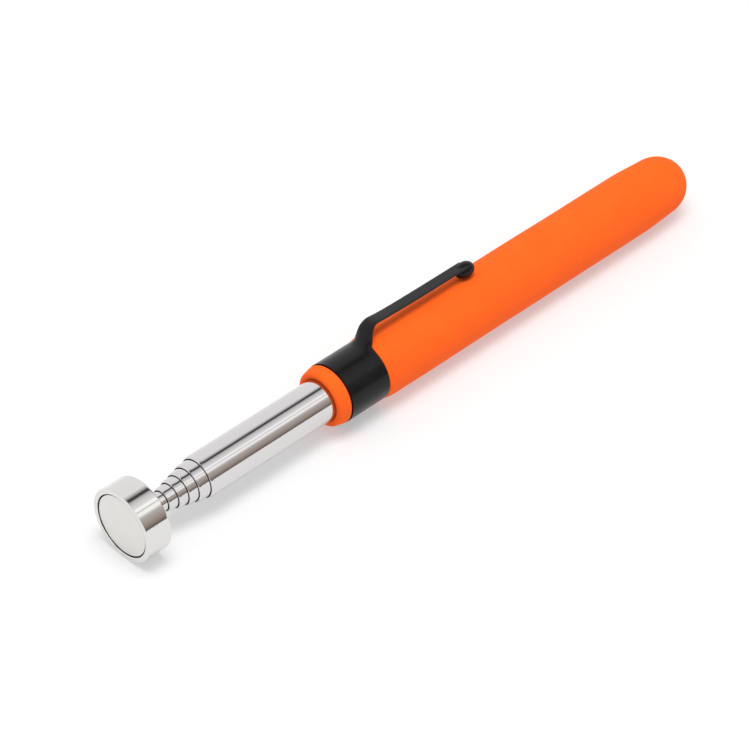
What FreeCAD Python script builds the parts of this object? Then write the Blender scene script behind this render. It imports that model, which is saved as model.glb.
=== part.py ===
import FreeCAD, Part

import math
import os
import re

import PartDesign
import Sketcher

# Telescopic magnetic pick-up tool, closed, lying along X.
# The magnet's face is at X = 0 and looks along -X. The handle's round end is at +X, and +Z is up.
# Everything is turned about the X axis, so an outline is a list of (X, radius) corners.

# Driving sizes in millimetres and degrees, each written once.
SIZES = {
    # magnet head
    "magnet_diameter": 14.4,
    "magnet_thickness": 4.4,
    "rim_stand": 0.15,          # cup's rim in front of the magnet's face
    "spacer_wall": 0.3,
    "spacer_depth": 0.7,        # front of the spacer ring behind the magnet's face
    "cup_wall": 1.2,
    "cup_floor": 1.85,
    "cup_front_round": 0.25,
    "cup_back_round": 0.6,
    "rivet_head_diameter": 7.0,
    "rivet_head_thickness": 0.8,
    "rivet_shank_length": 5.0,  # behind the cup
    # telescopic sections, 1 is the outermost and 6 the innermost
    "tube_diameter": 10.0,
    "tube_step": 1.1,           # from one tube's diameter to the next
    "tube_wall": 0.25,
    "tube_stagger": 2.35,       # from one nose to the next at rest
    "nose_flat": 0.05,          # flat left on a nose's front, inside its round edge
    "last_nose": 10.9,          # front of tube 5
    "first_nose_extra": 0.5,    # tube 1 stands this much further back than the stagger gives
    "flare_length": 0.8,
    "sleeve_length": 8.0,
    "sleeve_slit_angle": 15.0,
    "running_gap": 0.05,        # radial, between a nose and the tube that slides in it
    "sleeve_gap": 0.03,         # radial, between a friction sleeve and the bore it grips
    "seat_gap": 0.02,           # radial, between pieces that are pressed together
    "stop_gap": 0.3,            # left between sleeve and nose when a section is right out
    "bottom_gap": 0.2,          # between the tubes' ends and the end plug
    # end plug
    "tube_end": 152.0,          # rear end of tube 1
    "plug_depth": 4.0,
    "plug_flange": 1.0,
    # foam grip
    "foam_wall": 2.53,          # radial, from the tube to the grip's full size
    "grip_end": 172.8,
    "grip_taper_start": 156.0,
    "grip_taper_drop": 0.4,     # radius lost before the round end
    "lip_step": 0.5,            # radius lost in front of the band
    "lip_taper": 0.4,           # more radius lost from the band to the lip's round edge
    "lip_front": 56.3,
    "lip_round": 0.9,
    "mouth_gap": 0.45,          # radial, between the tube and the lip's open mouth
    "mouth_depth": 0.7,
    "foam_gap": 0.1,            # clearance kept round the soft foam
    "shoulder_step": 0.05,      # radius gained behind the band, before the shoulder's round
    # clip
    "band_front": 59.7,
    "band_length": 11.05,
    "band_sink": 0.4,           # radius of the band below the grip's
    "clip_sheet": 0.5,
    "clip_roll": 10.0,          # turn of the clip about X, from +Z towards +Y
    "arm_width": 3.0,
    "arm_root": 1.6,            # start of the arm in front of the band's rear edge
    "arm_slot_gap": 0.15,
    "neck_length": 4.75,
    "neck_rise": 4.15,
    "arm_length": 33.4,         # from the arm's root to the centre of the ball
    "arm_fall": 0.6,            # lowering of the arm from neck to ball
    "ball_diameter": 3.8,
    "ball_press": 0.1,          # depth that the ball sinks into the foam
    "dimple_gap": 0.2,
}

SECTIONS = 6

doc = FreeCAD.newDocument("pick_up_tool")
sheet = doc.addObject("Spreadsheet::Sheet", "Sizes")
for row, (alias, size) in enumerate(SIZES.items(), start=1):
    sheet.set(f"A{row}", alias)
    sheet.set(f"B{row}", str(size))
    sheet.setAlias(f"B{row}", alias)
doc.recompute()


def bound(words):
    """The expression with every size's alias addressed in the sheet."""
    return re.sub(r"[a-z]\w*", lambda found: f"Sizes.{found[0]}" if found[0] in SIZES else found[0], words)


def value(words):
    """The number that an expression over the sizes gives."""
    return float(sheet.evalExpression(bound(words)))


def new_body(label):
    body = doc.addObject("PartDesign::Body", label)
    body.Label = label
    return body


def origin_plane(body, role):
    return next(plane for plane in body.Origin.OriginFeatures if plane.Role == role)


def sketch_on(body, name, role):
    sketch = body.newObject("Sketcher::SketchObject", name)
    sketch.AttachmentSupport = [(origin_plane(body, role), "")]
    sketch.MapMode = "FlatFace"
    return sketch


def place_point(sketch, edge, end, across, up):
    """Ties one end of an edge to a place on the sketch's two axes."""
    for kind, words in (("DistanceX", across), ("DistanceY", up)):
        number = value(words)
        index = sketch.addConstraint(Sketcher.Constraint(kind, -1, 1, edge, end, number))
        sketch.setExpression(f"Constraints[{index}]", bound(words))


def arc_between(start, stop, radius, turn):
    """The short arc from start to stop; turn is 1 for a left-hand (anticlockwise) one, -1 for the other."""
    middle = (start + stop) * 0.5
    chord = stop - start
    reach = math.sqrt(max(radius ** 2 - chord.Length ** 2 / 4, 0.0))
    left = FreeCAD.Vector(-chord.y, chord.x, 0).normalize()
    centre = middle + left * reach * turn
    first, last = (start, stop) if turn > 0 else (stop, start)
    angles = [math.atan2(end.y - centre.y, end.x - centre.x) for end in (first, last)]
    circle = Part.Circle(centre, FreeCAD.Vector(0, 0, 1), radius)
    return Part.ArcOfCircle(circle, angles[0], angles[1])


def outline(sketch, corners):
    """Draws a closed outline. A corner is (across, up), or (across, up, radius, turn) when an arc leads to it."""
    places = [FreeCAD.Vector(value(corner[0]), value(corner[1]), 0) for corner in corners]
    edges = []
    for index, corner in enumerate(corners):
        start, stop = places[index - 1], places[index]
        if len(corner) == 2:
            edges.append((sketch.addGeometry(Part.LineSegment(start, stop)), 1, 2))
        else:
            arc = sketch.addGeometry(arc_between(start, stop, value(corner[2]), corner[3]))
            edges.append((arc, 1, 2) if corner[3] > 0 else (arc, 2, 1))
    for index, corner in enumerate(corners):
        edge, _, end = edges[index]
        following, beginning, _ = edges[(index + 1) % len(edges)]
        sketch.addConstraint(Sketcher.Constraint("Coincident", edge, end, following, beginning))
        place_point(sketch, edge, end, corner[0], corner[1])
        if len(corner) == 4:
            tie = sketch.addConstraint(Sketcher.Constraint("Radius", edge, value(corner[2])))
            sketch.setExpression(f"Constraints[{tie}]", bound(corner[2]))


def turned(body, corners, angle="360"):
    """Revolves an outline of (X, radius) corners about the X axis."""
    sketch = sketch_on(body, f"{body.Name}_outline", "XZ_Plane")
    outline(sketch, corners)
    revolution = body.newObject("PartDesign::Revolution", f"{body.Name}_turned")
    revolution.Profile = sketch
    revolution.ReferenceAxis = (sketch, ["H_Axis"])
    revolution.Midplane = True
    revolution.setExpression("Angle", bound(angle))
    doc.recompute()
    return revolution


def outer(section):
    """Outer radius of a tube."""
    return f"(tube_diameter / 2 - {section - 1} * tube_step / 2)"


def bore(section):
    """Bore radius of a tube."""
    return f"({outer(section)} - tube_wall)"


def nose(section):
    """X of a tube's front end. The innermost tube starts at the cup's back."""
    if section == SECTIONS:
        return CUP_BACK
    if section == 1:
        return f"(last_nose + {SECTIONS - 2} * tube_stagger + first_nose_extra)"
    return f"(last_nose + {SECTIONS - 1 - section} * tube_stagger)"


MAGNET_BACK = "magnet_thickness"
CUP_BACK = "(magnet_thickness + cup_floor)"
CUP_BORE = "(magnet_diameter / 2 + spacer_wall)"
CUP_OUTER = f"({CUP_BORE} + cup_wall)"
NOSE_ROUND = "(tube_step / 2 - running_gap - nose_flat)"
SHANK_RADIUS = f"({bore(SECTIONS)} - seat_gap)"
BOTTOM = "(tube_end - plug_depth)"
TUBE_BACK = f"({BOTTOM} - bottom_gap)"
FLARE_FRONT = f"({TUBE_BACK} - flare_length)"
SLEEVE_FRONT = f"({FLARE_FRONT} - sleeve_length)"
BAND_BACK = "(band_front + band_length)"
GRIP_RADIUS = "(tube_diameter / 2 + seat_gap + foam_wall)"
BAND_RADIUS = f"({GRIP_RADIUS} - band_sink)"
BAND_BORE = f"({BAND_RADIUS} - clip_sheet)"
ARM_START = f"({BAND_BACK} - arm_root)"
NECK_END = f"({ARM_START} + neck_length)"
BALL_X = f"({ARM_START} + arm_length)"
BALL_RADIUS = f"({GRIP_RADIUS} - ball_press + ball_diameter / 2)"


def magnet_cup():
    """Steel cup, open to the front, with a sunk seat for the rivet's head in its floor."""
    body = new_body("magnet_cup")
    front = "(0 - rim_stand)"
    sunk = f"({MAGNET_BACK} + rivet_head_thickness)"
    turned(body, [
        (front, f"{CUP_OUTER} - cup_front_round"),
        (f"{front} + cup_front_round", CUP_OUTER, "cup_front_round", -1),
        (f"{CUP_BACK} - cup_back_round", CUP_OUTER),
        (CUP_BACK, f"{CUP_OUTER} - cup_back_round", "cup_back_round", -1),
        (CUP_BACK, f"{SHANK_RADIUS} + seat_gap"),
        (sunk, f"{SHANK_RADIUS} + seat_gap"),
        (sunk, "rivet_head_diameter / 2 + seat_gap"),
        (MAGNET_BACK, "rivet_head_diameter / 2 + seat_gap"),
        (MAGNET_BACK, CUP_BORE),
        (front, CUP_BORE),
    ])
    return body


def magnet_disc():
    """Nickel-plated disc magnet."""
    body = new_body("magnet_disc")
    sketch = sketch_on(body, "magnet_disc_outline", "YZ_Plane")
    circle = sketch.addGeometry(Part.Circle(FreeCAD.Vector(), FreeCAD.Vector(0, 0, 1), value("magnet_diameter / 2")))
    sketch.addConstraint(Sketcher.Constraint("Coincident", circle, 3, -1, 1))
    tie = sketch.addConstraint(Sketcher.Constraint("Diameter", circle, value("magnet_diameter")))
    sketch.setExpression(f"Constraints[{tie}]", bound("magnet_diameter"))
    pad = body.newObject("PartDesign::Pad", "magnet_disc_pad")
    pad.Profile = sketch
    pad.setExpression("Length", bound("magnet_thickness"))
    doc.recompute()
    return body


def magnet_spacer():
    """Thin ring between the magnet and the cup's wall, sunk below the face."""
    body = new_body("magnet_spacer")
    inner = "(magnet_diameter / 2 + seat_gap)"
    turned(body, [
        ("spacer_depth", inner),
        ("spacer_depth", f"{CUP_BORE} - seat_gap"),
        (MAGNET_BACK, f"{CUP_BORE} - seat_gap"),
        (MAGNET_BACK, inner),
    ])
    return body


def head_rivet():
    """Rivet that holds the cup on the innermost tube."""
    body = new_body("head_rivet")
    head_back = f"({MAGNET_BACK} + rivet_head_thickness)"
    shank_end = f"({CUP_BACK} + rivet_shank_length)"
    turned(body, [
        (MAGNET_BACK, "0"),
        (MAGNET_BACK, "rivet_head_diameter / 2"),
        (head_back, "rivet_head_diameter / 2"),
        (head_back, SHANK_RADIUS),
        (shank_end, SHANK_RADIUS),
        (shank_end, "0"),
    ])
    return body


def tube(section):
    """Drawn tube with its nose rolled in round the next tube and its rear end flared."""
    body = new_body(f"tube_{section}")
    front = nose(section)
    wide = outer(section)
    narrow = bore(section)
    if section == SECTIONS:
        corners = [(front, narrow), (front, wide)]
    else:
        lip = f"({outer(section + 1)} + running_gap)"
        corners = [
            (f"{front} + tube_wall", lip),
            (front, lip),
            (front, f"{wide} - {NOSE_ROUND}"),
            (f"{front} + {NOSE_ROUND}", wide, NOSE_ROUND, -1),
        ]
    if section == 1:
        corners += [("tube_end", wide), ("tube_end", narrow)]
    else:
        flare = f"({bore(section - 1)} - running_gap)"
        corners += [
            (FLARE_FRONT, wide),
            (FLARE_FRONT, flare),
            (TUBE_BACK, flare),
            (TUBE_BACK, f"{flare} - tube_wall"),
            (f"{FLARE_FRONT} + tube_wall", f"{flare} - tube_wall"),
            (f"{FLARE_FRONT} - tube_wall", narrow),
        ]
    if section < SECTIONS:
        inside = f"({NOSE_ROUND} - tube_wall)"
        corners += [
            (f"{front} + {NOSE_ROUND}", narrow),
            (f"{front} + tube_wall", f"{narrow} - {inside}", inside, 1),
        ]
    turned(body, corners)
    return body


def friction_sleeve(section):
    """Split spring sleeve on a tube's rear end, just in front of its flare."""
    body = new_body(f"friction_sleeve_{section}")
    inner = f"({outer(section)} + seat_gap)"
    grip = f"({bore(section - 1)} - sleeve_gap)"
    turned(body, [
        (SLEEVE_FRONT, inner),
        (SLEEVE_FRONT, grip),
        (FLARE_FRONT, grip),
        (FLARE_FRONT, inner),
    ], angle="360 - sleeve_slit_angle")
    return body


def end_plug():
    """Plug pressed into the rear of the outer tube; its flange closes the tube's end."""
    body = new_body("end_plug")
    plug = f"({bore(1)} - seat_gap)"
    flange_back = "(tube_end + plug_flange)"
    turned(body, [
        (BOTTOM, "0"),
        (BOTTOM, plug),
        ("tube_end", plug),
        ("tube_end", outer(1)),
        (flange_back, outer(1)),
        (flange_back, "0"),
    ])
    return body


def foam_grip():
    """Moulded foam sleeve with a slimmer lip, a squeezed waist under the band and a closed round end."""
    body = new_body("foam_grip")
    hole = f"({outer(1)} + seat_gap)"
    hole_end = "(tube_end + plug_flange + seat_gap)"
    slim = f"({GRIP_RADIUS} - lip_step)"
    lip = f"({slim} - lip_taper)"
    mouth = f"({outer(1)} + mouth_gap)"
    waist = f"({BAND_BORE} - foam_gap)"
    band_face = "(band_front - foam_gap)"
    shoulder = f"({BAND_BACK} + foam_gap)"
    shoulder_low = f"({waist} + shoulder_step)"
    shoulder_round = f"({GRIP_RADIUS} - {shoulder_low})"
    dome_radius = f"({GRIP_RADIUS} - grip_taper_drop)"
    turned(body, [
        ("lip_front", f"{lip} - lip_round"),
        ("lip_front + lip_round", lip, "lip_round", -1),
        (band_face, slim),
        (band_face, waist),
        (shoulder, waist),
        (shoulder, shoulder_low),
        (f"{shoulder} + {shoulder_round}", GRIP_RADIUS, shoulder_round, -1),
        ("grip_taper_start", GRIP_RADIUS),
        (f"grip_end - {dome_radius}", dome_radius),
        ("grip_end", "0", dome_radius, -1),
        (hole_end, "0"),
        (hole_end, hole),
        ("lip_front + mouth_depth", hole),
        ("lip_front", mouth),
    ])
    dimple = body.newObject("PartDesign::SubtractiveSphere", "ball_dimple")
    dimple.setExpression("Radius", bound("ball_diameter / 2 + dimple_gap"))
    dimple.AttachmentSupport = [(origin_plane(body, "XY_Plane"), "")]
    dimple.MapMode = "FlatFace"
    dimple.setExpression("AttachmentOffset.Base.x", bound(BALL_X))
    dimple.setExpression("AttachmentOffset.Base.y", bound(f"{BALL_RADIUS} * sin(clip_roll * 1 deg)"))
    dimple.setExpression("AttachmentOffset.Base.z", bound(f"{BALL_RADIUS} * cos(clip_roll * 1 deg)"))
    doc.recompute()
    return body


def roll_with_clip(body):
    """Turns a clip piece about the X axis, from +Z towards +Y."""
    body.Placement = FreeCAD.Placement(FreeCAD.Vector(), FreeCAD.Rotation(FreeCAD.Vector(-1, 0, 0), 1))
    body.setExpression("Placement.Rotation.Angle", bound("clip_roll * 1 deg"))


def clip_band():
    """Sheet-steel band round the foam, with a slot in its rear edge where the arm leaves it."""
    body = new_body("clip_band")
    band = turned(body, [
        ("band_front", BAND_BORE),
        ("band_front", BAND_RADIUS),
        (BAND_BACK, BAND_RADIUS),
        (BAND_BACK, BAND_BORE),
    ])
    whole = band.Shape.Volume
    side = "(arm_width / 2 + arm_slot_gap)"
    sketch = sketch_on(body, "arm_slot_outline", "XY_Plane")
    outline(sketch, [
        (ARM_START, f"0 - {side}"),
        (f"{BAND_BACK} + clip_sheet", f"0 - {side}"),
        (f"{BAND_BACK} + clip_sheet", side),
        (ARM_START, side),
    ])
    slot = body.newObject("PartDesign::Pocket", "arm_slot")
    slot.Profile = sketch
    slot.Reversed = True
    slot.setExpression("Length", bound(f"{BAND_RADIUS} + clip_sheet"))
    roll_with_clip(body)
    doc.recompute()
    if not body.Shape.Volume < whole:
        raise RuntimeError("the arm's slot cuts nothing")
    return body


def clip_arm():
    """Spring arm: an S-shaped neck, a long strip that falls slightly, and a ball end."""
    body = new_body("clip_arm")
    # each half of the neck turns by the same angle, on a radius that gives the neck's length and rise
    bend = "((neck_length ^ 2 + neck_rise ^ 2) / (4 * neck_rise))"
    middle_x = f"({ARM_START} + neck_length / 2)"
    middle_r = f"({BAND_RADIUS} + neck_rise / 2)"
    top = f"({BAND_RADIUS} + neck_rise)"
    slope_x = f"(clip_sheet * neck_length / 2 / {bend})"
    slope_r = f"(clip_sheet * (1 - neck_rise / 2 / {bend}))"
    strip_end = f"({top} - arm_fall)"
    sketch = sketch_on(body, "clip_arm_side", "XZ_Plane")
    outline(sketch, [
        (ARM_START, BAND_BORE),
        (f"{middle_x} + {slope_x}", f"{middle_r} - {slope_r}", f"{bend} + clip_sheet", 1),
        (NECK_END, f"{top} - clip_sheet", f"{bend} - clip_sheet", -1),
        (BALL_X, f"{strip_end} - clip_sheet"),
        (BALL_X, strip_end),
        (NECK_END, top),
        (middle_x, middle_r, bend, 1),
        (ARM_START, BAND_RADIUS, bend, -1),
    ])
    strip = body.newObject("PartDesign::Pad", "clip_arm_strip")
    strip.Profile = sketch
    strip.Midplane = True
    strip.setExpression("Length", bound("arm_width"))
    doc.recompute()
    ball = body.newObject("PartDesign::AdditiveSphere", "clip_arm_ball")
    ball.AttachmentSupport = [(origin_plane(body, "XY_Plane"), "")]
    ball.MapMode = "FlatFace"
    ball.setExpression("Radius", bound("ball_diameter / 2"))
    ball.setExpression("AttachmentOffset.Base.x", bound(BALL_X))
    ball.setExpression("AttachmentOffset.Base.z", bound(BALL_RADIUS))
    roll_with_clip(body)
    doc.recompute()
    return body


parts = [magnet_cup(), magnet_disc(), magnet_spacer(), head_rivet()]
parts += [tube(section) for section in range(1, SECTIONS + 1)]
parts += [friction_sleeve(section) for section in range(2, SECTIONS + 1)]
parts += [end_plug(), foam_grip(), clip_band(), clip_arm()]
doc.recompute()

for item in doc.Objects:
    if "Invalid" in item.State or "Error" in item.State:
        raise RuntimeError(f"{item.Label} failed: {item.State}")
for part in parts:
    if part.Shape.isNull() or not part.Shape.isValid() or len(part.Shape.Solids) != 1:
        raise RuntimeError(f"{part.Label} is not one valid solid")

os.makedirs("parts", exist_ok=True)
for part in parts:
    part.Shape.exportStep(f"parts/{part.Label}.step")
    box = part.Shape.BoundBox
    print(f"{part.Label}: X {box.XMin:.2f} to {box.XMax:.2f}, {part.Shape.Volume:.1f} mm3")
for section in range(2, SECTIONS + 1):
    travel = value(f"{SLEEVE_FRONT} - {nose(section - 1)} - {NOSE_ROUND} - stop_gap")
    print(f"travel of tube {section}: {travel:.2f} mm")
hinge_y = value(f"{BAND_RADIUS} * sin(clip_roll * 1 deg)")
hinge_z = value(f"{BAND_RADIUS} * cos(clip_roll * 1 deg)")
print(f"clip hinge at {value(ARM_START):.3f}, {hinge_y:.3f}, {hinge_z:.3f} mm")
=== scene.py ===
import math

import bpy
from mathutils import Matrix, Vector


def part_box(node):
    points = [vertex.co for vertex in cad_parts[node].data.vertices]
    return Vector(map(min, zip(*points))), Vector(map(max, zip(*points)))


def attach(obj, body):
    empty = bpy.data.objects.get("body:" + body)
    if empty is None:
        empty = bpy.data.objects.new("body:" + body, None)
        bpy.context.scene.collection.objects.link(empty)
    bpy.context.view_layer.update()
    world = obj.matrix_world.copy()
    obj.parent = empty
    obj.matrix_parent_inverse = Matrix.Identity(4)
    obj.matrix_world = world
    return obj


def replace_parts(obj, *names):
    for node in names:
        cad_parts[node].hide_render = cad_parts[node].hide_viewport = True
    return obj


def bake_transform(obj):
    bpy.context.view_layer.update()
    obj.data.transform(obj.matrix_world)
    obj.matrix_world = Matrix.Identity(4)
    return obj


# Telescopic magnetic pick-up tool, lying closed on a pale floor.
# It lies along X with its magnet towards -X, so every round piece is turned about the X axis.

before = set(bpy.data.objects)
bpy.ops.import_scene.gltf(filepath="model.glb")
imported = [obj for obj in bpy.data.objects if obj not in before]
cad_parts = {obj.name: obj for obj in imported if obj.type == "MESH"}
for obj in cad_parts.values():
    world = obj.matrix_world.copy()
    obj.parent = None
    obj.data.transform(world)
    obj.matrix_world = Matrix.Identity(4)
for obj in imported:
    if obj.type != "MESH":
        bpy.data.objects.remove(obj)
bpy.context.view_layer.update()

MM = 0.001
RING_SIDES = 128
SECTIONS = 6
SAME_PLACE = 0.001 * MM

# Sizes that the frame's boxes don't give.
TUBE_WALL = 0.25 * MM
TUBE_STEP = 0.55 * MM
NOSE_LENGTH = 0.95 * MM
NOSE_DROP = 0.31 * MM
NOSE_GAP = 0.2 * MM
CUT_END_ROUND = 0.08 * MM
FLARE_LENGTH = 0.8 * MM
FLARE_RISE = 0.25 * MM
CUP_WALL = 1.2 * MM
CUP_FRONT_ROUND = 0.2 * MM
CUP_BACK_ROUND = 0.55 * MM
CUP_BORE_ROUND = 0.08 * MM
RIVET_SEAT = 0.8 * MM
DISC_EDGE = 0.12 * MM
DISC_INSETS = (1.5 * MM, 2.5 * MM)
GRIP_TAPER_START = 157 * MM
DOME_START = 164.9 * MM
DOME_RADIUS = 7.1 * MM
LIP_STEP = 0.5 * MM
LIP_TAPER = 0.4 * MM
LIP_ROUND = 0.9 * MM
MOUTH_DEPTH = 0.7 * MM
MOUTH_ROUND = 0.62 * MM
LIP_BACK_ROUND = 0.55 * MM
SHOULDER_LENGTH = 3.5 * MM
SHOULDER_RISE = 0.6 * MM
SEAT_GAP = 0.02 * MM
FOAM_GAP = 0.1 * MM
FOAM_SKIN_START = 0.5 * MM
DIMPLE_GAP = 0.1 * MM
DIMPLE_DEPTH = 0.2 * MM
DIMPLE_REACH = 1.2 * MM
CLIP_SHEET = 0.5 * MM
CLIP_ROLL = math.radians(10)
CLIP_SIDES = 96
CLIP_EDGE_ROUND = 0.07 * MM
ARM_ROOT = 2.4 * MM
ARM_HALF_WIDTH = 1.45 * MM
ROOT_ANGLE = math.radians(22.5)
LIFT_FLAT = math.radians(9)
LIFT_END = math.radians(31)
LIFT_SHARES = 12
NECK_LENGTH = 5.9 * MM
NECK_ANGLE = math.radians(60)
NECK_RISE = 4.15 * MM
NECK_FADE = 1.6 * MM
NECK_FLATTEN = 0.72
ARM_FALL = 0.47 * MM
FALL_LENGTH = 6 * MM
FALL_STEPS = 12
BALL_RADIUS = 1.9 * MM
BALL_STRETCH = 1.37
BALL_PRESS = 0.1 * MM
FLOOR_GAP = 0.03 * MM

# Camera, turned round the tool and raised, looking down at it.
CAMERA_AZIMUTH = math.radians(-44.558)
CAMERA_ELEVATION = math.radians(40.377)
CAMERA_DISTANCE = 0.68924
CAMERA_LENS = 151.6
CAMERA_AIM_X = 0.073169
CAMERA_AIM_DROP = 0.002182


# ---------------------------------------------------------------- modelling


def leave_all():
    """Back to object mode with nothing selected."""
    if bpy.context.object and bpy.context.object.mode != "OBJECT":
        bpy.ops.object.mode_set(mode="OBJECT")
    bpy.ops.object.select_all(action="DESELECT")


def edit(piece, kind="EDGE"):
    """Edit mode on one piece, with nothing selected in it."""
    leave_all()
    bpy.context.view_layer.objects.active = piece
    piece.select_set(True)
    bpy.ops.object.mode_set(mode="EDIT")
    bpy.ops.mesh.select_mode(type=kind)
    bpy.ops.mesh.select_all(action="DESELECT")


def pick(piece, wanted, kind="EDGE"):
    """Selects the corners, edges or faces that lie wholly in wanted places."""
    edit(piece, kind)
    bpy.ops.object.mode_set(mode="OBJECT")
    mesh = piece.data
    inside = [wanted(vertex.co) for vertex in mesh.vertices]
    if kind == "VERT":
        for vertex in mesh.vertices:
            vertex.select = inside[vertex.index]
    for item in {"EDGE": mesh.edges, "FACE": mesh.polygons}.get(kind, []):
        item.select = all(inside[index] for index in item.vertices)
    bpy.ops.object.mode_set(mode="EDIT")


def ring_at(x, radius):
    """A test for the places on one ring about the X axis."""
    near = 0.002 * MM
    return lambda place: abs(place.x - x) < near and abs(math.hypot(place.y, place.z) - radius) < near


def apply_modifier(piece, kind, **settings):
    leave_all()
    bpy.context.view_layer.objects.active = piece
    piece.select_set(True)
    modifier = piece.modifiers.new(kind.lower(), kind)
    for name, setting in settings.items():
        setattr(modifier, name, setting)
    bpy.ops.object.modifier_apply(modifier=modifier.name)


def finish_mesh(piece, smooth_angle=35):
    """Merges doubles, turns the faces outwards and shades the piece smooth up to an angle."""
    edit(piece, "VERT")
    bpy.ops.mesh.select_all(action="SELECT")
    bpy.ops.mesh.remove_doubles(threshold=SAME_PLACE)
    bpy.ops.mesh.normals_make_consistent(inside=False)
    leave_all()
    bpy.context.view_layer.objects.active = piece
    piece.select_set(True)
    bpy.ops.object.transform_apply(location=True, rotation=True, scale=True)
    bpy.ops.object.shade_smooth_by_angle(angle=math.radians(smooth_angle))
    leave_all()


def ring_start(name, x, radius, sides=RING_SIDES):
    leave_all()
    bpy.ops.mesh.primitive_circle_add(vertices=sides, radius=radius, location=(x, 0, 0),
                                      rotation=(0, math.pi / 2, 0))
    piece = bpy.context.object
    piece.name = name
    bpy.ops.object.transform_apply(location=True, rotation=True, scale=True)
    return piece


def turned_piece(name, outline, rounds=(), sides=RING_SIDES):
    """Extrudes a ring along a closed outline of (x, radius) corners, then rounds the rings that are named."""
    x, radius = outline[0]
    piece = ring_start(name, x, radius, sides)
    edit(piece)
    bpy.ops.mesh.select_all(action="SELECT")
    for next_x, next_radius in list(outline[1:]) + [outline[0]]:
        bpy.ops.mesh.extrude_edges_move(TRANSFORM_OT_translate={"value": (next_x - x, 0, 0)})
        ratio = next_radius / radius
        bpy.ops.transform.resize(value=(1, ratio, ratio), center_override=(next_x, 0, 0))
        x, radius = next_x, next_radius
    finish_mesh(piece)
    for x, radius, size, steps in rounds:
        pick(piece, ring_at(x, radius))
        bpy.ops.mesh.bevel(offset=size, segments=steps, profile=0.5, affect="EDGES")
    finish_mesh(piece)
    return piece


def arc(middle, size, start, stop, steps):
    """Places on a round stretch of an outline, from one angle in degrees to another."""
    angles = [math.radians(start + (stop - start) * step / steps) for step in range(steps + 1)]
    return [(middle[0] + size[0] * math.cos(a), middle[1] + size[1] * math.sin(a)) for a in angles]


def run(start, stop, steps):
    """Evenly spaced places on a straight stretch of an outline, without its ends."""
    return [tuple(a + (b - a) * step / steps for a, b in zip(start, stop)) for step in range(1, steps)]


# ---------------------------------------------------------------- materials


def linear(code):
    """An sRGB hex colour as linear RGBA."""
    parts = [int(code[index:index + 2], 16) / 255 for index in (1, 3, 5)]
    return [c / 12.92 if c <= 0.04045 else ((c + 0.055) / 1.055) ** 2.4 for c in parts] + [1]


def add_node(tree, kind, settings=None, links=None):
    """Adds a node, sets its properties and inputs, and links its inputs to (node, output) pairs."""
    node = tree.nodes.new(kind)
    for key, setting in (settings or {}).items():
        if isinstance(key, str) and hasattr(node, key):
            setattr(node, key, setting)
        else:
            node.inputs[key].default_value = setting
    for key, (source, output) in (links or {}).items():
        tree.links.new(source.outputs[output], node.inputs[key])
    return node


def new_material(name, **settings):
    """A material with its Principled shader set; returns it with its node tree and shader."""
    material = bpy.data.materials.new(name)
    material.use_nodes = True
    tree = material.node_tree
    shader = tree.nodes["Principled BSDF"]
    for key, setting in settings.items():
        shader.inputs[key.replace("_", " ")].default_value = setting
    return material, tree, shader


def stretched_noise(tree, stretch, detail=3.0, roughness=0.5):
    """Noise over the piece's own place in millimetres, stretched per axis."""
    place = add_node(tree, "ShaderNodeTexCoord")
    scale = add_node(tree, "ShaderNodeMapping", {"Scale": [step / MM for step in stretch]},
                     {"Vector": (place, "Object")})
    return add_node(tree, "ShaderNodeTexNoise", {"Scale": 1.0, "Detail": detail, "Roughness": roughness},
                    {"Vector": (scale, "Vector")})


def spread(tree, source, low, high):
    """Maps a noise onto a narrow range of a setting."""
    limits = {"From Min": 0.3, "From Max": 0.7, "To Min": low, "To Max": high}
    return add_node(tree, "ShaderNodeMapRange", limits, {"Value": source})


def set_roughness(tree, shader, source, low, high):
    """Roughness that wanders between two values with a noise."""
    rough = spread(tree, (source, "Fac"), low, high)
    tree.links.new(rough.outputs["Result"], shader.inputs["Roughness"])


def set_bump(tree, shader, source, strength, distance):
    """A shallow relief from a noise."""
    bump = add_node(tree, "ShaderNodeBump", {"Strength": strength, "Distance": distance},
                    {"Height": (source, "Fac")})
    tree.links.new(bump.outputs["Normal"], shader.inputs["Normal"])


def two_tone(tree, source, first, second):
    """A colour that wanders between two close tones with a noise."""
    return add_node(tree, "ShaderNodeMix", {"data_type": "RGBA", 6: linear(first), 7: linear(second)},
                    {0: (source, "Fac")})


def drawn_stainless():
    """Stainless tube, drawn and polished: mirror-like bands, with faint lines along the draw."""
    material, tree, shader = new_material("stainless_drawn_and_polished", Metallic=1.0,
                                          Base_Color=linear("#D8D6D6"))
    # draw lines about 0.15 mm apart and tens of millimetres long
    lines = stretched_noise(tree, (0.03, 6.0, 6.0))
    haze = stretched_noise(tree, (0.2, 0.5, 0.5))
    set_roughness(tree, shader, haze, 0.06, 0.11)
    set_bump(tree, shader, lines, 0.05, 0.01 * MM)
    return material


def polished_chrome():
    """Bright chrome plate over a turned cup: a hard mirror with faint turning marks round it."""
    material, tree, shader = new_material("chrome_plate_polished", Metallic=1.0, Base_Color=linear("#DEDDDB"))
    # turning marks about 0.1 mm apart, round the axis
    lines = stretched_noise(tree, (8.0, 0.05, 0.05))
    haze = stretched_noise(tree, (0.25, 0.25, 0.25))
    set_roughness(tree, shader, haze, 0.05, 0.1)
    set_bump(tree, shader, lines, 0.03, 0.01 * MM)
    return material


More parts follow.
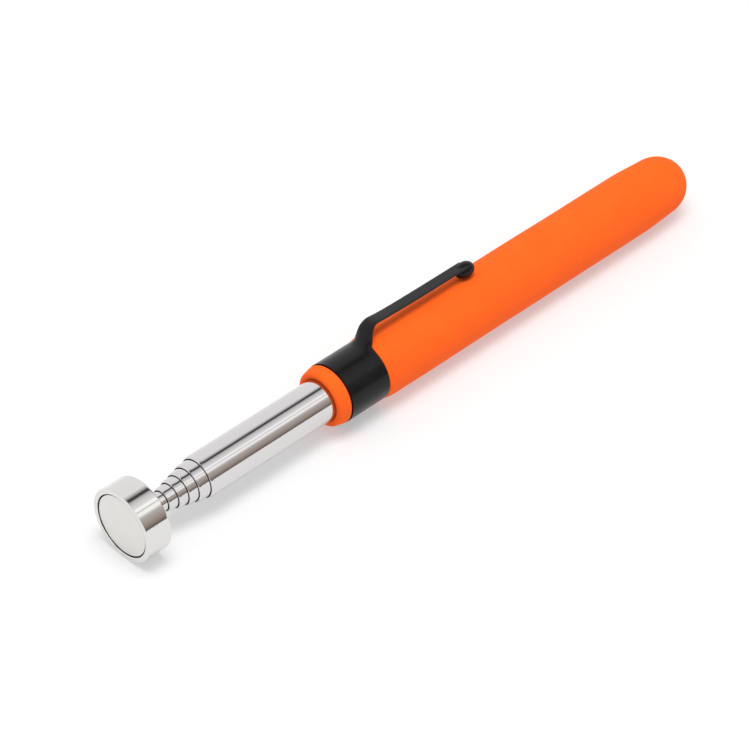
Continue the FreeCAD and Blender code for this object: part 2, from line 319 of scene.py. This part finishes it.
def satin_nickel():
    """Nickel plate on a ground magnet: a soft satin face with a fine even grain."""
    material, tree, shader = new_material("nickel_plate_satin", Metallic=1.0)
    grain = stretched_noise(tree, (3.0, 3.0, 3.0), detail=5.0)
    cloud = stretched_noise(tree, (0.12, 0.12, 0.12))
    tint = two_tone(tree, cloud, "#DAD9D5", "#E2E1DE")
    tree.links.new(tint.outputs[2], shader.inputs["Base Color"])
    set_roughness(tree, shader, grain, 0.3, 0.42)
    set_bump(tree, shader, grain, 0.06, 0.01 * MM)
    return material


def orange_foam():
    """Moulded closed-cell foam rubber: a dry matt skin with a fine open grain and soft mottling."""
    material, tree, shader = new_material("foam_rubber_moulded", IOR=1.5, Specular_IOR_Level=0.15,
                                          Sheen_Weight=0.15, Sheen_Roughness=0.5)
    shader.inputs["Sheen Tint"].default_value = linear("#FF9A50")
    # the real cells are about 0.1 mm across and are drawn at 0.3 mm so that they show
    cells = stretched_noise(tree, (3.2, 3.2, 3.2), detail=4.0, roughness=0.7)
    cloud = stretched_noise(tree, (0.14, 0.14, 0.14), detail=2.0)
    skin = two_tone(tree, cloud, "#FA5D1B", "#FF661F")
    fleck_limits = {"From Min": 0.25, "From Max": 0.6, "To Min": 0.86, "To Max": 1.0}
    fleck = add_node(tree, "ShaderNodeMapRange", fleck_limits, {"Value": (cells, "Fac")})
    colour = add_node(tree, "ShaderNodeMix", {"data_type": "RGBA", "blend_type": "MULTIPLY", 0: 1.0},
                      {6: (skin, 2), 7: (fleck, "Result")})
    tree.links.new(colour.outputs[2], shader.inputs["Base Color"])
    set_roughness(tree, shader, cells, 0.95, 0.75)
    set_bump(tree, shader, cells, 0.35, 0.05 * MM)
    return material


def black_enamel():
    """Baked black enamel on spring steel: a deep gloss with a slight orange peel."""
    material, tree, shader = new_material("enamel_baked_black", IOR=1.5, Specular_IOR_Level=0.2)
    peel = stretched_noise(tree, (1.3, 1.3, 1.3), detail=2.0)
    cloud = stretched_noise(tree, (0.3, 0.3, 0.3))
    colour = two_tone(tree, cloud, "#0C0C0E", "#131315")
    tree.links.new(colour.outputs[2], shader.inputs["Base Color"])
    set_roughness(tree, shader, cloud, 0.2, 0.3)
    set_bump(tree, shader, peel, 0.08, 0.02 * MM)
    return material


def phosphor_bronze():
    """Rolled phosphor-bronze strip: warm metal with rolling lines and a dull tarnish."""
    material, tree, shader = new_material("phosphor_bronze_rolled", Metallic=1.0)
    lines = stretched_noise(tree, (0.1, 5.0, 5.0))
    cloud = stretched_noise(tree, (0.4, 0.4, 0.4))
    colour = two_tone(tree, cloud, "#B98A5C", "#9C6E45")
    tree.links.new(colour.outputs[2], shader.inputs["Base Color"])
    set_roughness(tree, shader, lines, 0.28, 0.42)
    return material


def zinc_plate():
    """Zinc-plated rivet steel: a cool grey with a cloudy, half-dull surface."""
    material, tree, shader = new_material("zinc_plate_on_steel", Metallic=1.0)
    cloud = stretched_noise(tree, (1.2, 1.2, 1.2))
    colour = two_tone(tree, cloud, "#A9ADB2", "#C2C5C8")
    tree.links.new(colour.outputs[2], shader.inputs["Base Color"])
    set_roughness(tree, shader, cloud, 0.3, 0.45)
    return material


def black_nylon(name):
    """Moulded black nylon: dark and half matt, with a fine moulded grain."""
    material, tree, shader = new_material(name, IOR=1.53)
    grain = stretched_noise(tree, (4.0, 4.0, 4.0))
    colour = two_tone(tree, grain, "#121213", "#1B1B1D")
    tree.links.new(colour.outputs[2], shader.inputs["Base Color"])
    set_roughness(tree, shader, grain, 0.5, 0.65)
    return material


def give(piece, material):
    """Puts one material on a piece."""
    piece.data.materials.clear()
    piece.data.materials.append(material)


# ---------------------------------------------------------------- magnet head


def make_cup():
    low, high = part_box("magnet_cup")
    disc_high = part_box("magnet_disc")[1]
    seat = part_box("head_rivet")[0].x + RIVET_SEAT
    radius = high.z
    bore = radius - CUP_WALL
    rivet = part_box("head_rivet")[1].z
    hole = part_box("tube_6")[1].z - FLARE_RISE - TUBE_WALL
    cup = turned_piece("cup_turned", [
        (low.x, bore), (low.x, radius), (high.x, radius), (high.x, hole),
        (seat, hole), (seat, rivet), (disc_high.x, rivet), (disc_high.x, bore),
    ], rounds=[
        (low.x, bore, CUP_BORE_ROUND, 2),
        (low.x, radius, CUP_FRONT_ROUND, 4),
        (high.x, radius, CUP_BACK_ROUND, 6),
    ])
    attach(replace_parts(cup, "magnet_cup"), "tip")
    return cup


def make_disc():
    low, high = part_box("magnet_disc")
    leave_all()
    bpy.ops.mesh.primitive_cylinder_add(vertices=RING_SIDES, radius=high.z, depth=high.x - low.x,
                                        end_fill_type="NGON", location=((low.x + high.x) / 2, 0, 0),
                                        rotation=(0, math.pi / 2, 0))
    disc = bpy.context.object
    disc.name = "disc_ground"
    bpy.ops.object.transform_apply(location=True, rotation=True, scale=True)
    for x in (low.x, high.x):
        pick(disc, ring_at(x, high.z))
        bpy.ops.mesh.bevel(offset=DISC_EDGE, segments=3, profile=0.5, affect="EDGES")
    # a few inset rings keep the face flat-shaded and even
    pick(disc, lambda place: abs(place.x - low.x) < SAME_PLACE, "FACE")
    for width in DISC_INSETS:
        bpy.ops.mesh.inset(thickness=width)
    finish_mesh(disc)
    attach(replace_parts(disc, "magnet_disc"), "tip")
    return disc


# ---------------------------------------------------------------- tubes


def make_tube(section):
    """Drawn tube: rolled-in nose, thin wall, and a flare at the rear of every tube but the first."""
    low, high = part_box(f"tube_{section}")
    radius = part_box("tube_1")[1].z - (section - 1) * TUBE_STEP
    bore = radius - TUBE_WALL
    front, back = low.x, high.x
    last = section == SECTIONS
    if last:
        outline = [(front, bore), (front, radius)]
    else:
        lip = radius - TUBE_STEP + NOSE_GAP
        rolled = (front + NOSE_LENGTH, radius - NOSE_DROP)
        outline = [(front, lip)] + arc(rolled, (NOSE_LENGTH, NOSE_DROP), 180, 90, 8)
    if section == 1:
        outline += [(back, radius), (back, bore)]
    else:
        flare_front = back - FLARE_LENGTH
        flare = high.z
        outline += [
            (flare_front, radius), (flare_front, flare), (back, flare), (back, flare - TUBE_WALL),
            (flare_front + TUBE_WALL, flare - TUBE_WALL), (flare_front - TUBE_WALL, bore),
        ]
    if not last:
        outline += [(front + NOSE_LENGTH, bore), (front + TUBE_WALL, lip)]
    rounds = [(front, radius, CUT_END_ROUND, 3)] if last else []
    tube = turned_piece(f"tube_{section}_drawn", outline, rounds)
    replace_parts(tube, f"tube_{section}")
    body = {1: "grip", SECTIONS: "tip"}.get(section, f"section_{section}")
    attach(tube, body)
    return tube


# ---------------------------------------------------------------- foam grip


def foam_outline():
    """Lip turned in to the tube, waist squeezed by the band, full body, slight taper and round end."""
    low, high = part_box("foam_grip")
    band_low, band_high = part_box("clip_band")
    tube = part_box("tube_1")[1].z
    full = -low.z
    slim = full - LIP_STEP
    lip = slim - LIP_TAPER
    waist = -band_low.z - CLIP_SHEET - FOAM_GAP
    hole = tube + SEAT_GAP
    hole_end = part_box("end_plug")[1].x + SEAT_GAP
    contact = (low.x + MOUTH_DEPTH, hole)
    front = arc((low.x + MOUTH_ROUND, hole + MOUTH_ROUND), (MOUTH_ROUND, MOUTH_ROUND), 262, 185, 6)
    front += arc((low.x + LIP_ROUND, lip - LIP_ROUND), (LIP_ROUND, LIP_ROUND), 178, 105, 7)
    edge = (band_low.x - FOAM_GAP - LIP_BACK_ROUND, slim - LIP_BACK_ROUND)
    swell = (edge[0], slim)
    front += run(front[-1], swell, 5) + arc(edge, (LIP_BACK_ROUND, LIP_BACK_ROUND), 90, 0, 5)
    waist_start = (band_low.x + FOAM_GAP, waist)
    waist_end = (band_high.x - FOAM_GAP, waist)
    middle = [waist_start] + run(waist_start, waist_end, 6) + [waist_end]
    shoulder = (band_high.x + FOAM_GAP + SHOULDER_LENGTH, full - SHOULDER_RISE)
    back = [(band_high.x + FOAM_GAP, waist + FOAM_GAP / 2)]
    back += arc(shoulder, (SHOULDER_LENGTH, SHOULDER_RISE), 180, 90, 9)
    body_end = (GRIP_TAPER_START, full)
    dome_start = (DOME_START, DOME_RADIUS)
    back += run(back[-1], body_end, 54) + [body_end]
    back += run(body_end, dome_start, 8)
    back += arc((DOME_START, 0), (high.x - DOME_START, DOME_RADIUS), 90, 0, 18)
    inside = [(hole_end, 0), (hole_end, hole)] + run((hole_end, hole), contact, 40) + [contact]
    return inside + front + middle + back


def spun_piece(name, outline, sides):
    """Draws an outline point by point from a plane merged to its middle, and spins it about the X axis."""
    leave_all()
    bpy.ops.mesh.primitive_plane_add(size=MM)
    piece = bpy.context.object
    piece.name = name
    edit(piece, "VERT")
    bpy.ops.mesh.select_all(action="SELECT")
    bpy.ops.mesh.merge(type="CENTER")
    here = Vector((0, 0, 0))
    places = [Vector((x, 0, radius)) for x, radius in outline]
    bpy.ops.transform.translate(value=places[0] - here)
    here = places[0]
    for place in places[1:]:
        bpy.ops.mesh.extrude_vertices_move(TRANSFORM_OT_translate={"value": place - here})
        here = place
    bpy.ops.mesh.select_all(action="SELECT")
    bpy.ops.mesh.spin(steps=sides, angle=2 * math.pi, center=(0, 0, 0), axis=(1, 0, 0))
    finish_mesh(piece)
    return piece


def make_foam():
    """The foam sleeve, slightly uneven as moulded foam is, and pressed in under the clip's ball."""
    foam = spun_piece("foam_sleeve", foam_outline(), sides=96)
    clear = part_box("tube_1")[1].z + FOAM_SKIN_START
    ball = ball_place()
    for vertex in foam.data.vertices:
        outward = Vector((0, vertex.co.y, vertex.co.z))
        if outward.length < clear:
            continue
        outward.normalize()
        # slow unevenness, a few hundredths of a millimetre
        angle = math.atan2(vertex.co.y, vertex.co.z)
        along = vertex.co.x / MM
        wave = 0.02 * math.sin(0.21 * along + 2 * angle) + 0.016 * math.sin(0.083 * along - 3 * angle + 1.3)
        vertex.co += outward * wave * MM
        # the dimple under the ball, with a soft shoulder round it
        away = vertex.co - ball
        away.x /= BALL_STRETCH
        beyond = away.length - BALL_RADIUS
        soft = DIMPLE_DEPTH * math.exp(-(max(beyond, 0) / DIMPLE_REACH) ** 2)
        pressed = max(0.0, DIMPLE_GAP - beyond)
        vertex.co -= outward * (soft + pressed)
    apply_modifier(foam, "SUBSURF", levels=1, render_levels=1)
    finish_mesh(foam, smooth_angle=60)
    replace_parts(foam, "foam_grip")
    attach(foam, "grip")
    return foam


# ---------------------------------------------------------------- clip


def ball_place():
    """Middle of the clip's ball, just above the foam, with the clip's roll."""
    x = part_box("clip_arm")[1].x - BALL_RADIUS
    height = -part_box("foam_grip")[0].z - BALL_PRESS + BALL_RADIUS
    return Vector((x, height * math.sin(CLIP_ROLL), height * math.cos(CLIP_ROLL)))


def neck_steps():
    """Places (behind, rise) on the neck: a bend up, a straight stretch and a bend back, 60 degrees each."""
    sine, cosine = math.sin(NECK_ANGLE), math.cos(NECK_ANGLE)
    bend = (sine * NECK_LENGTH - cosine * NECK_RISE) / (2 * (1 - cosine))
    steps = 6
    angles = [NECK_ANGLE * step / steps for step in range(steps + 1)]
    first = [(bend * math.sin(a), bend * (1 - math.cos(a))) for a in angles]
    second = [(NECK_LENGTH - x, NECK_RISE - rise) for x, rise in reversed(first)]
    middle = tuple((a + b) / 2 for a, b in zip(first[-1], second[0]))
    return first + [middle] + second


def make_clip():
    """One stamped sheet: a band round the foam, and an arm drawn out of its rear edge to a ball end."""
    band_low, band_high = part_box("clip_band")
    radius = -band_low.z
    root = band_high.x - ARM_ROOT
    root_half = radius * math.sin(ROOT_ANGLE)
    clip = ring_start("pocket_clip", band_low.x, radius, sides=CLIP_SIDES)
    edit(clip)
    bpy.ops.mesh.select_all(action="SELECT")
    x = band_low.x
    path = [step for step in neck_steps() if step[0] > 0]
    lifted = [step for step in path if step[0] <= ARM_ROOT * 1.02]
    stops = [band_low.x + (root - band_low.x) * step / 5 for step in range(1, 6)]
    stops += [root + behind for behind, rise in lifted[:-1]] + [band_high.x]
    for stop in stops:
        bpy.ops.mesh.extrude_edges_move(TRANSFORM_OT_translate={"value": (stop - x, 0, 0)})
        x = stop
    # the band's rear rows are lifted in the middle, a little at a time, so that the lift dies out sideways
    for row, (behind, rise) in zip([root + b for b, r in lifted[:-1]] + [band_high.x], lifted):
        for share in range(LIFT_SHARES):
            outward = math.acos(2 * (share + 0.5) / LIFT_SHARES - 1) / math.pi
            reach = LIFT_FLAT + (LIFT_END - LIFT_FLAT) * outward
            pick(clip, lambda place: abs(place.x - row) < SAME_PLACE and place.z > 0
                 and abs(math.atan2(place.y, radius)) < reach, "VERT")
            bpy.ops.transform.translate(value=(0, 0, rise / LIFT_SHARES))
    # the arm is drawn out of the middle of the rear edge, and narrows and flattens as it goes
    pick(clip, lambda place: abs(place.x - band_high.x) < SAME_PLACE and place.z > 0
         and abs(place.y) < root_half + SEAT_GAP)
    arm_z = radius + lifted[-1][1]
    half = root_half
    arm_x = band_high.x
    left = [(root + b, radius + r) for b, r in path if b > lifted[-1][0] + 0.05 * MM]
    ball = ball_place()
    neck_end = left[-1]
    gaps = [(ball.x - neck_end[0]) * step / FALL_STEPS for step in range(1, FALL_STEPS + 1)]
    fall = [(neck_end[0] + gap, neck_end[1] - ARM_FALL * (1 - math.exp(-gap / FALL_LENGTH))) for gap in gaps]
    for next_x, next_z in left + fall:
        flare_left = math.exp(-(next_x - band_high.x) / NECK_FADE)
        next_half = ARM_HALF_WIDTH + (root_half - ARM_HALF_WIDTH) * flare_left
        bpy.ops.mesh.extrude_edges_move(TRANSFORM_OT_translate={"value": (next_x - arm_x, 0, next_z - arm_z)})
        bpy.ops.transform.resize(value=(1, next_half / half, NECK_FLATTEN), center_override=(next_x, 0, next_z))
        arm_x, arm_z, half = next_x, next_z, next_half
    finish_mesh(clip)
    apply_modifier(clip, "SOLIDIFY", thickness=CLIP_SHEET, offset=-1, use_even_offset=True)
    add_ball(clip, ball)
    apply_modifier(clip, "BEVEL", width=CLIP_EDGE_ROUND, segments=2, limit_method="ANGLE",
                   angle_limit=math.radians(50))
    finish_mesh(clip, smooth_angle=40)
    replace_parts(clip, "clip_band", "clip_arm")
    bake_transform(clip)
    return clip


def add_ball(clip, ball):
    """Unites the strip's end with its ball, then rolls the whole clip into place."""
    height = math.hypot(ball.y, ball.z)
    leave_all()
    bpy.ops.mesh.primitive_uv_sphere_add(segments=40, ring_count=20, radius=BALL_RADIUS,
                                         location=(ball.x, 0, height))
    tip = bpy.context.object
    bpy.ops.transform.resize(value=(BALL_STRETCH, 1, 1), center_override=(ball.x, 0, height))
    bpy.ops.object.transform_apply(location=True, rotation=True, scale=True)
    apply_modifier(clip, "BOOLEAN", operation="UNION", solver="EXACT", object=tip)
    bpy.data.objects.remove(tip)
    clip.rotation_euler = (-CLIP_ROLL, 0, 0)
    finish_mesh(clip, smooth_angle=40)


# ---------------------------------------------------------------- floor, light and camera


def make_floor():
    """Large pale light table under the two places where the tool rests: the head's cup and the grip's rear."""
    cup_low, cup_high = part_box("magnet_cup")
    front = cup_high.x - CUP_BACK_ROUND
    slope = math.atan2(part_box("foam_grip")[0].z - cup_low.z, GRIP_TAPER_START - front)
    leave_all()
    bpy.ops.mesh.primitive_plane_add(size=6.0)
    floor = bpy.context.object
    floor.name = "studio_floor"
    floor.rotation_euler = (0, -slope, 0)
    floor.location = (0, 0, cup_low.z - front * math.tan(slope) - FLOOR_GAP)
    material = new_material("acrylic_opal_lit_from_below", Base_Color=linear("#B8B8B8"), Roughness=0.9,
                            Specular_IOR_Level=0.1, Emission_Color=linear("#FFFFFF"), Emission_Strength=0.36)[0]
    floor.data.materials.append(material)
    return floor


# Brightness of the light tent round the tool's length, by angle above the horizon on the +Y side.
TENT = [
    (-20, "#E6E6E6"), (66, "#E6E5E6"), (76, "#9C9B9C"), (80, "#3E3D3E"), (86, "#3A3A3A"), (90, "#B4B2B3"),
    (98, "#D2D0D1"), (111, "#E4E2E2"), (114, "#FFFFFF"), (121, "#FFFFFF"), (123, "#B8B6B6"), (126, "#EDEBEA"),
    (128, "#FFFFFF"), (135, "#FAF8F6"), (140, "#C4BFBC"), (146, "#B2ABA8"), (160, "#A2968F"),
    (170, "#8C807A"), (177, "#5E544F"), (180, "#7E726C"),
]


def make_tent():
    """World light: even for diffuse light, and in long bands parallel to the tool where metal mirrors it."""
    world = bpy.data.worlds.new("light_tent")
    bpy.context.scene.world = world
    world.use_nodes = True
    tree = world.node_tree
    tree.nodes.clear()
    direction = add_node(tree, "ShaderNodeTexCoord")
    axes = add_node(tree, "ShaderNodeSeparateXYZ", None, {"Vector": (direction, "Generated")})
    angle = add_node(tree, "ShaderNodeMath", {"operation": "ARCTAN2"}, {0: (axes, "Z"), 1: (axes, "Y")})
    share = add_node(tree, "ShaderNodeMapRange", {"From Min": -math.pi, "From Max": math.pi},
                     {"Value": (angle, "Value")})
    bands = add_node(tree, "ShaderNodeValToRGB", None, {"Fac": (share, "Result")})
    stops = bands.color_ramp.elements
    while len(stops) < len(TENT):
        stops.new(0.5)
    for stop, (degrees, code) in zip(stops, TENT):
        stop.position = (degrees + 180) / 360
        stop.color = linear(code)
    mirrored = add_node(tree, "ShaderNodeBackground", {"Strength": 1.25}, {"Color": (bands, "Color")})
    even = add_node(tree, "ShaderNodeBackground", {"Color": linear("#FFFFFF"), "Strength": 0.74})
    ray = add_node(tree, "ShaderNodeLightPath")
    mixed = add_node(tree, "ShaderNodeMixShader", None,
                     {0: (ray, "Is Glossy Ray"), 1: (even, "Background"), 2: (mirrored, "Background")})
    add_node(tree, "ShaderNodeOutputWorld", None, {"Surface": (mixed, "Shader")})


def make_key():
    """Large soft key light almost overhead, so that the arm's shadow falls close beside the arm."""
    leave_all()
    aim = Vector((0.09, 0, 0))
    bpy.ops.object.light_add(type="AREA", location=aim + Vector((-0.1, -0.15, 1.3)))
    key = bpy.context.object
    key.name = "key_softbox"
    key.data.shape = "RECTANGLE"
    key.data.size = 0.8
    key.data.size_y = 0.6
    key.data.energy = 13
    key.rotation_euler = (aim - key.location).to_track_quat("-Z", "Y").to_euler()
    key.visible_glossy = False


def make_camera():
    back = Vector((math.sin(CAMERA_AZIMUTH) * math.cos(CAMERA_ELEVATION),
                   -math.cos(CAMERA_AZIMUTH) * math.cos(CAMERA_ELEVATION),
                   math.sin(CAMERA_ELEVATION)))
    leave_all()
    bpy.ops.object.camera_add()
    camera = bpy.context.object
    camera.data.lens = CAMERA_LENS
    camera.data.sensor_width = 36
    camera.rotation_euler = back.to_track_quat("Z", "Y").to_euler()
    up = camera.rotation_euler.to_matrix() @ Vector((0, 1, 0))
    camera.location = Vector((CAMERA_AIM_X, 0, 0)) - up * CAMERA_AIM_DROP + back * CAMERA_DISTANCE
    bpy.context.scene.camera = camera
    bpy.context.scene.view_settings.view_transform = "Standard"


# ---------------------------------------------------------------- build

make_camera()
make_tent()
make_key()
make_floor()

chrome = polished_chrome()
nickel = satin_nickel()
stainless = drawn_stainless()
give(make_cup(), chrome)
give(make_disc(), nickel)
for number in range(1, SECTIONS + 1):
    give(make_tube(number), stainless)
give(make_foam(), orange_foam())
give(make_clip(), black_enamel())

bronze = phosphor_bronze()
inner = {
    "head_rivet": zinc_plate(),
    "magnet_spacer": black_nylon("nylon_spacer"),
    "end_plug": black_nylon("nylon_plug"),
}
for number in range(2, SECTIONS + 1):
    inner[f"friction_sleeve_{number}"] = bronze
for node, material in inner.items():
    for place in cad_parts[node].material_slots:
        place.material = material
